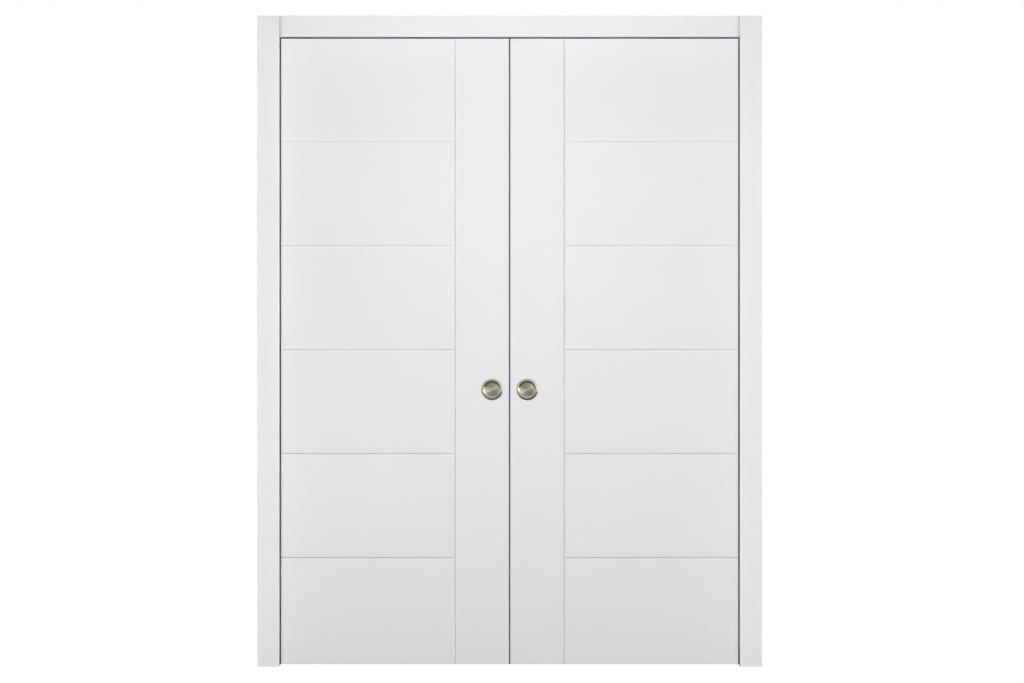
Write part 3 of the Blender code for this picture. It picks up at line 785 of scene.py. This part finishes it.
def drill_rail(bm, low, high):
    """Fixing holes through the top of a rail, evenly along it."""
    pitch = (high - low).x / RAIL_HOLES
    places = [low.x + pitch * (i + 0.5) for i in range(RAIL_HOLES)]
    for y in (-RAIL_HOLE_PATCH, RAIL_HOLE_PATCH):
        cut_across(bm, Y, y)
    for x in places:
        cut_across(bm, X, x - RAIL_HOLE_PATCH)
        cut_across(bm, X, x + RAIL_HOLE_PATCH)
    for x in places:
        hole = []
        for z in (high.z, high.z - RAIL_WALL):
            hole += drill(bm, (x, 0, z), RAIL_HOLE_PATCH, RAIL_HOLE_RADIUS, RAIL_HOLE_SEGMENTS)
        bmesh.ops.bridge_loops(bm, edges=hole)


def rail(side_name, aluminium):
    """A drawn channel, open below, with fixing holes along its top."""
    node = f"{side_name}_rail"
    low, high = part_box(node)
    bm = bmesh.new()
    end = bm.faces.new([bm.verts.new((low.x, y, z)) for y, z in rail_outline(low, high)])
    drawn = bmesh.ops.extrude_face_region(bm, geom=[end])["geom"]
    bmesh.ops.translate(bm, vec=(high.x - low.x, 0, 0), verts=verts_in(drawn))
    ease(bm, [edge for edge in bm.edges if runs_along(edge, X)], RAIL_CORNER_ROUND, EASE_STEPS)
    drill_rail(bm, low, high)
    placed_piece(bm, f"{side_name}_drawn_rail", "frame", aluminium, [node])


def along_y(middle):
    """Lays a turned shape along Y, with its middle at a point."""
    return Matrix.Translation(middle) @ Matrix.Rotation(math.pi / 2, 4, "X")


def wheel_profile(radius, inner, outer):
    """A nylon wheel between two places on its axle, its tread eased and its sides dished."""
    hub = WHEEL_HUB_RADIUS
    rim = radius - WHEEL_RIM
    tread = radius - WHEEL_ROUND
    rounding = (WHEEL_ROUND, WHEEL_ROUND)
    return [
        (AXLE_RADIUS, inner),
        (hub, inner),
        (hub + WHEEL_DISH / 2, inner + WHEEL_DISH),
        (rim - WHEEL_DISH / 2, inner + WHEEL_DISH),
        (rim, inner),
        *arc((tread, inner + WHEEL_ROUND), rounding, -90, 0, WHEEL_ROUND_STEPS),
        *arc((tread, outer - WHEEL_ROUND), rounding, 0, 90, WHEEL_ROUND_STEPS),
        (rim, outer),
        (rim - WHEEL_DISH / 2, outer - WHEEL_DISH),
        (hub + WHEEL_DISH / 2, outer - WHEEL_DISH),
        (hub, outer),
        (AXLE_RADIUS, outer),
        (AXLE_RADIUS, inner),
    ]


def wheelset(node, nylon, steel):
    """Two nylon wheels, and the steel axle they turn with."""
    low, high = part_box(node)
    middle = (low + high) / 2
    radius = (high.z - low.z) / 2
    reach = (high.y - low.y) / 2
    bm = turned(wheel_profile(radius, reach - WHEEL_WIDTH, reach), TURNED_SEGMENTS)
    bmesh.ops.mirror(bm, geom=bm.verts[:] + bm.edges[:] + bm.faces[:], axis="Z", merge_dist=-1)
    bmesh.ops.transform(bm, matrix=along_y(middle), verts=bm.verts)
    placed_piece(bm, f"{node}_tyres", node, nylon, [node])
    end = reach - SEAT_GAP
    side = AXLE_RADIUS - AXLE_PLAY
    profile = [(0, -end), (side - AXLE_CHAMFER, -end), (side, AXLE_CHAMFER - end)]
    profile += [(across, -height) for across, height in reversed(profile)]
    bm = turned(profile, TURNED_SEGMENTS // 2)
    bmesh.ops.transform(bm, matrix=along_y(middle), verts=bm.verts)
    placed_piece(bm, f"{node}_axle", node, steel)


def screw_head(name, body, place, steel):
    """A low crowned screw head with a cross recess, set in a plate at a point."""
    flange = SCREW_HEAD_RADIUS
    profile = [(0, SCREW_CROWN)]
    for i in range(1, SCREW_CROWN_STEPS + 1):
        share = i / SCREW_CROWN_STEPS
        profile.append((flange * share, SCREW_CROWN * (1 - share**2)))
    profile += [(flange / 2, -flange / 2), (0, -flange / 2)]
    bm = turned(profile, TURNED_SEGMENTS // 2)
    for vert in bm.verts:
        x, y = abs(vert.co.x), abs(vert.co.y)
        in_cross = min(x, y) < SCREW_CROSS_HALF and max(x, y) < SCREW_CROSS_REACH
        if in_cross and vert.co.z > 0:
            vert.co.z -= SCREW_CROSS_DEPTH
    bmesh.ops.translate(bm, vec=place, verts=bm.verts)
    placed_piece(bm, name, body, steel)


def hanger_bolt(node, body, steel):
    """A bolt with six sides to its head and ridges along its shank."""
    low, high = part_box(node)
    foot = Vector(((low.x + high.x) / 2, (low.y + high.y) / 2, low.z))
    bm = bmesh.new()
    placing = Matrix.Translation(foot)
    sides = BOLT_HEAD_SIDES
    bmesh.ops.create_circle(bm, cap_ends=True, segments=sides, radius=BOLT_HEAD_RADIUS, matrix=placing)
    raised = bmesh.ops.extrude_face_region(bm, geom=bm.faces[:])["geom"]
    bmesh.ops.translate(bm, vec=(0, 0, BOLT_HEAD_HEIGHT), verts=verts_in(raised))
    ease(bm, bm.edges[:], SMALL_EASE, EASE_STEPS)
    placed_piece(bm, f"{node}_head", body, steel, [node])
    ridges = int((high.z - low.z - BOLT_HEAD_HEIGHT) / THREAD_PITCH)
    profile = [(0, BOLT_HEAD_HEIGHT / 2)]
    for i in range(ridges):
        height = BOLT_HEAD_HEIGHT + i * THREAD_PITCH
        profile += [(BOLT_RADIUS - THREAD_DEPTH, height), (BOLT_RADIUS, height + THREAD_PITCH / 2)]
    profile += [(BOLT_RADIUS - THREAD_DEPTH, high.z - low.z), (0, high.z - low.z)]
    bm = turned(profile, TURNED_SEGMENTS // 2)
    bmesh.ops.translate(bm, vec=foot, verts=bm.verts)
    placed_piece(bm, f"{node}_shank", body, steel)


def hanger(side_name, hanger_name, finishes):
    """A hanger: its plate with screws, its threaded bolt, its cast trolley and its wheels."""
    body = f"{side_name}_leaf"
    name = f"{side_name}_{hanger_name}"
    steel = finishes["steel"]
    low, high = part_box(f"{name}_plate")
    bm = block(low, high)
    ease(bm, [edge for edge in bm.edges if runs_along(edge, Z)], PLATE_CORNER, PLATE_CORNER_STEPS)
    placed_piece(bm, f"{name}_strap", body, steel, [f"{name}_plate"])
    middle = (low + high) / 2
    for end, sign in (("first", -1), ("second", 1)):
        for row, share in PLATE_SCREWS.items():
            x = middle.x + sign * share * (high.x - low.x) / 2
            screw_head(f"{name}_{end}_{row}_screw", body, Vector((x, middle.y, high.z)), steel)
    hanger_bolt(f"{name}_bolt", body, steel)
    board(f"{name}_trolley", f"{name}_cast_block", body, finishes["zinc"], CAST_EASE_STEPS)
    for end in WHEEL_ENDS:
        wheelset(f"{name}_{end}", finishes["nylon"], steel)


def ease_solid(node):
    """Takes the sharpness off a moulded solid that stays in view."""
    joined = node.modifiers.new("Joined corners", "WELD")
    joined.merge_threshold = TOUCH
    eased = node.modifiers.new("Eased edges", "BEVEL")
    eased.width = MOULDED_EASE
    eased.segments = EASE_STEPS
    eased.limit_method = "ANGLE"
    eased.angle_limit = math.radians(SHARP_ANGLE)


def dress_remaining(finishes, moulded):
    """Gives the solids that stay in view their finish, and eases the moulded ones."""
    for name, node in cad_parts.items():
        for ending, finish in finishes.items():
            if name.endswith(ending):
                node.data.materials.clear()
                node.data.materials.append(finish)
                if ending in moulded:
                    ease_solid(node)


def by_ray(tree, ray, usual, seen):
    """One shader for rays of a kind, and the usual one for the rest."""
    path = tree.nodes.new("ShaderNodeLightPath")
    mix = tree.nodes.new("ShaderNodeMixShader")
    tree.links.new(path.outputs[ray], mix.inputs["Fac"])
    tree.links.new(usual.outputs[0], mix.inputs[1])
    tree.links.new(seen.outputs[0], mix.inputs[2])
    return mix


def matt(tree, albedo):
    """A plain grey surface."""
    surface = tree.nodes.new("ShaderNodeBsdfDiffuse")
    surface.inputs["Color"].default_value = (albedo, albedo, albedo, 1)
    return surface


def stage_white(name, glow, shadowed, albedo):
    """White to the eye, with a faint shadow, and a plain matt surface to the light that bounces."""
    finish = bpy.data.materials.new(name)
    finish.use_nodes = True
    tree = finish.node_tree
    tree.nodes.clear()
    light = tree.nodes.new("ShaderNodeEmission")
    light.inputs["Strength"].default_value = glow
    both = tree.nodes.new("ShaderNodeAddShader")
    tree.links.new(light.outputs[0], both.inputs[0])
    tree.links.new(matt(tree, shadowed).outputs[0], both.inputs[1])
    away = by_ray(tree, "Is Glossy Ray", matt(tree, albedo), matt(tree, albedo * STAGE_IN_METAL))
    out = tree.nodes.new("ShaderNodeOutputMaterial")
    tree.links.new(by_ray(tree, "Is Camera Ray", away, both).outputs[0], out.inputs["Surface"])
    return finish


def stage_object(bm, name, finish):
    """A thing of the stage, which is no piece of the door."""
    mesh = bpy.data.meshes.new(name)
    bm.to_mesh(mesh)
    bm.free()
    mesh.materials.append(finish)
    obj = bpy.data.objects.new(name, mesh)
    bpy.context.scene.collection.objects.link(obj)


def build_stage():
    """A pale floor, and the white face of the wall that the pockets lie behind, open at the doorway."""
    bm = bmesh.new()
    bmesh.ops.create_grid(bm, x_segments=1, y_segments=1, size=FLOOR_SIZE / 2)
    stage_object(bm, "floor", stage_white("floor white", glow=0.975, shadowed=0.06, albedo=0.4))
    bm = bmesh.new()
    upright = Matrix.Translation((0, -WALL_FACE, WALL_HEIGHT / 2)) @ Matrix.Rotation(math.pi / 2, 4, "X")
    spread = Matrix.Diagonal((2 * WALL_HALF_WIDTH, WALL_HEIGHT, 1, 1))
    bmesh.ops.create_grid(bm, x_segments=1, y_segments=1, size=0.5, matrix=upright @ spread)
    for x in (-DOORWAY_HALF, DOORWAY_HALF):
        cut_across(bm, X, x)
    cut_across(bm, Z, DOORWAY_TOP)

    def in_doorway(face):
        middle = face.calc_center_median()
        return abs(middle.x) < DOORWAY_HALF and middle.z < DOORWAY_TOP

    doorway = [face for face in bm.faces if in_doorway(face)]
    bmesh.ops.delete(bm, geom=doorway, context="FACES")
    stage_object(bm, "wall face", stage_white("wall white", glow=1.0, shadowed=0.0, albedo=0.6))


def lamp(name, place, aim, size, power, colour, glossy=True, diffuse=True):
    """A soft rectangular lamp that the camera doesn't see."""
    light = bpy.data.lights.new(name, "AREA")
    light.shape = "RECTANGLE"
    light.size, light.size_y = size
    light.energy = power
    light.color = colour
    obj = bpy.data.objects.new(name, light)
    place = Vector(place)
    obj.location = place
    obj.rotation_euler = (Vector(aim) - place).to_track_quat("-Z", "Y").to_euler()
    obj.visible_camera = False
    obj.visible_glossy = glossy
    obj.visible_diffuse = diffuse
    bpy.context.scene.collection.objects.link(obj)


def tone_lamp(face_name, name, place, aim, size, power, colour):
    """A lamp on one side of the wall that gives tone and doesn't show in reflections."""
    place = (place[0], FACES[face_name] * place[1], place[2])
    lamp(f"{face_name} {name}", place, aim, size, power, colour, glossy=False)


def sheen_card(face_name, name, place, aim, size, power):
    """A card on one side of the wall that only shows in reflections."""
    place = (place[0], FACES[face_name] * place[1], place[2])
    lamp(f"{face_name} {name}", place, aim, size, power, NEUTRAL, diffuse=False)


def build_side_lights(face_name, side_name, side):
    """The lights that stand in pairs, left and right."""
    tone_lamp(
        face_name,
        f"low {side_name}",
        place=(side * 0.9, 1.1, 0.35),
        aim=(side * 0.85, 0, 0.35),
        size=(0.4, 0.4),
        power=0.95,
        colour=WARM,
    )
    sheen_card(
        face_name,
        f"tall card {side_name}",
        place=(side * 3, 2, 1.2),
        aim=(0, 0, 1.2),
        size=(0.4, 2.0),
        power=TALL_CARD_POWER[side_name],
    )
    sheen_card(
        face_name,
        f"pull card {side_name}",
        place=(side * 0.7, 2.6, 1 + side * 0.3),
        aim=(0, 0, 0.9),
        size=(0.25, 0.4),
        power=3.2,
    )


def build_lights():
    """The same light before and behind: lamps for the tone, and cards that only show as sheen."""
    for side_name, side in SIDES.items():
        lamp(
            f"{side_name} end",
            place=(side * 4, 0, 1.4),
            aim=(0, 0, 1.1),
            size=(0.3, 1.5),
            power=40,
            colour=NEUTRAL,
            glossy=False,
        )
    for face_name in FACES:
        tone_lamp(
            face_name, "broad", place=(0, 7, 1.2), aim=(0, 0, 1.1), size=(1.2, 1.5), power=252, colour=NEUTRAL
        )
        tone_lamp(
            face_name, "main", place=(0, 2.2, 1.8), aim=(0, 0, 1.6), size=(0.5, 0.4), power=18.2, colour=COOL
        )
        for side_name, side in SIDES.items():
            build_side_lights(face_name, side_name, side)
        sheen_card(face_name, "top card", place=(0, 1.2, 3.0), aim=(0, 0, 0.9), size=(2.0, 0.4), power=6)


def white_background(tree, strength):
    """An even white all round."""
    background = tree.nodes.new("ShaderNodeBackground")
    background.inputs["Color"].default_value = (1, 1, 1, 1)
    background.inputs["Strength"].default_value = strength
    return background


def room_in_metal(tree):
    """A grey room, dark below and bright above."""
    place = tree.nodes.new("ShaderNodeTexCoord")
    parts = tree.nodes.new("ShaderNodeSeparateXYZ")
    spread = tree.nodes.new("ShaderNodeMapRange")
    spread.inputs["From Min"].default_value = -ROOM_SPREAD
    spread.inputs["From Max"].default_value = ROOM_SPREAD
    spread.inputs["To Min"].default_value = ROOM_DARK
    spread.inputs["To Max"].default_value = ROOM_BRIGHT
    background = white_background(tree, ROOM_BRIGHT)
    tree.links.new(place.outputs["Generated"], parts.inputs[0])
    tree.links.new(parts.outputs["Z"], spread.inputs["Value"])
    tree.links.new(spread.outputs["Result"], background.inputs["Strength"])
    return background


def build_world():
    """White to the eye, a grey room in reflections, and nearly dark to the light that bounces."""
    world = bpy.data.worlds.new("studio")
    world.use_nodes = True
    tree = world.node_tree
    tree.nodes.clear()
    away = by_ray(tree, "Is Glossy Ray", white_background(tree, ROOM_BOUNCE), room_in_metal(tree))
    out = tree.nodes.new("ShaderNodeOutputWorld")
    seen = by_ray(tree, "Is Camera Ray", away, white_background(tree, 1.0))
    tree.links.new(seen.outputs[0], out.inputs["Surface"])
    bpy.context.scene.world = world


def build_camera():
    """Square on to the wall, from far enough back that the leaves and the casings keep one scale."""
    camera = bpy.data.cameras.new("camera")
    camera.sensor_width = SENSOR_WIDTH
    camera.lens = SENSOR_WIDTH * VIEW_DISTANCE / (IMAGE_WIDTH * PIXEL)
    camera.clip_end = 4 * VIEW_DISTANCE
    obj = bpy.data.objects.new("camera", camera)
    obj.location = (VIEW_CENTRE_X, -WALL_FACE - VIEW_DISTANCE, VIEW_CENTRE_Z)
    obj.rotation_euler = (math.pi / 2, 0, 0)
    bpy.context.scene.collection.objects.link(obj)
    bpy.context.scene.camera = obj


def make_finishes():
    return {
        # the casing paint is the leaf paint made lighter, painted light for the light the casings catch less
        # of than the leaves
        "casing": satin_paint("casing paint", (0.830, 0.826, 0.839), (0.840, 0.836, 0.849)),
        "leaf": satin_paint("leaf paint", (0.785, 0.781, 0.796), (0.795, 0.791, 0.806)),
        "nickel": satin_nickel(),
        "aluminium": anodised_aluminium(),
        "timber": planed_softwood(),
        "pile": dark_pile(),
        "steel": zinc_plated_steel(),
        "zinc": cast_zinc(),
        "nylon": white_nylon(),
        "rubber": black_rubber(),
    }


def build_half(side_name, side, finishes):
    """Half of the door: a leaf with its pulls, the boards and seals beside it, its rail and its hangers."""
    for face_name, face in FACES.items():
        leaf_skin(side_name, face_name, finishes["leaf"])
        pull(side_name, face_name, finishes["nickel"])
        casing_leg(f"{face_name}_casing_{side_name}", side, face, finishes["casing"])
        jamb = f"{side_name}_{face_name}_jamb"
        board(jamb, f"{jamb}_board", "frame", finishes["casing"])
        pile_seal(f"{side_name}_{face_name}_seal", X, side, finishes["pile"], finishes["rubber"])
    meeting_seal(side_name, finishes["rubber"])
    rail(side_name, finishes["aluminium"])
    for hanger_name in HANGERS:
        hanger(side_name, hanger_name, finishes)
    stop = f"{side_name}_open_stop"
    board(stop, f"{stop}_block", "frame", finishes["zinc"])


def build_head(finishes):
    """What lies over the leaves: casings, jambs and seals, and the board that the rails hang from."""
    for face_name, face in FACES.items():
        casing_head(f"{face_name}_casing_head", face, finishes["casing"])
        jamb = f"{face_name}_head_jamb"
        board(jamb, f"{jamb}_board", "frame", finishes["casing"])
        pile_seal(f"{face_name}_head_seal", Z, 1, finishes["pile"], finishes["rubber"])
    board("head_board", "head_board_timber", "frame", finishes["timber"])


def main():
    bpy.context.scene.view_settings.view_transform = "Standard"
    finishes = make_finishes()
    for side_name, side in SIDES.items():
        build_half(side_name, side, finishes)
    build_head(finishes)
    dress_remaining(
        {
            "_leaf_core": finishes["leaf"],
            "_bumper": finishes["rubber"],
            "middle_stop": finishes["rubber"],
            "_floor_guide": finishes["nylon"],
        },
        ("_bumper", "middle_stop", "_floor_guide"),
    )
    build_stage()
    build_lights()
    build_world()
    build_camera()


main()
